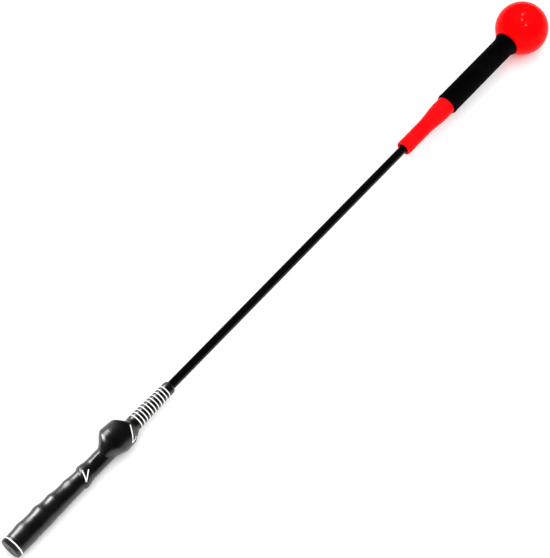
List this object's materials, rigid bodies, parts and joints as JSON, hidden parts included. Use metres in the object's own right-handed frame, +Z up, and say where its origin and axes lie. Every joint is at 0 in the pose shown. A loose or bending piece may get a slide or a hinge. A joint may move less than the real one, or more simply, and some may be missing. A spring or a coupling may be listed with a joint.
{
  "type": "golf swing training stick",
  "caption": "Straight golf swing trainer: red ball and foam sleeve on a slim black shaft, with a sculpted black grip ringed in white at its front end.",
  "frame": {"origin": "middle of the stick's length, on the floor that it lies on", "axes": "+X along the stick from the butt towards the ball, +Z up, +Y to the far side, which the tall side of the grip's lobe points to. The stick rests on its ball and its butt cap, so its own axis climbs 1.28 degrees from the butt to the ball"},
  "size_m": [1.016, 0.072, 0.072],
  "materials": {
    "grip_rubber": "semi-gloss moulded rubber",
    "white_inlay": "satin white",
    "cap_plastic": "satin black",
    "sleeve_plastic": "moulded",
    "tape": "woven double-sided tape",
    "spring_steel": "oiled",
    "black_rod": "gloss black glass fibre",
    "red_collar": "gloss red",
    "black_rubber": "matte",
    "bare_steel": "turned",
    "black_foam": "matte closed-cell foam",
    "fibre": "vulcanised fibre",
    "red_ball": "gloss red",
    "cast_weight": "as cast"
  },
  "bodies": {
    "handle": {"grip": "grip_rubber", "ferrule_rings": "white_inlay", "butt_cap": "cap_plastic", "butt_ring": "white_inlay", "core_sleeve": "sleeve_plastic", "grip_tape": "tape", "butt_pin": "spring_steel", "shaft": "black_rod"},
    "head": {"taper_collar": "red_collar", "collar_grommet": "black_rubber", "weight_tube": "bare_steel", "weight_pin": "spring_steel", "sleeve_tape": "tape", "foam_sleeve": "black_foam", "thrust_washer": "fibre", "ball_shell": "red_ball", "ball_core": "cast_weight", "rod_stud": "bare_steel", "stud_pin": "spring_steel", "core_washer": "bare_steel", "lock_washer": "spring_steel", "core_nut": "bare_steel"}
  },
  "joints": [
    {"name": "shaft_flex", "type": "hinge", "parent": "handle", "child": "head", "pos_m": [-0.04286, 0, 0.02446], "axis": [0, 0, 1], "range_deg": [-20, 20], "stiffness_Nm_per_rad": 69, "deforming": ["shaft"]}
  ]
}
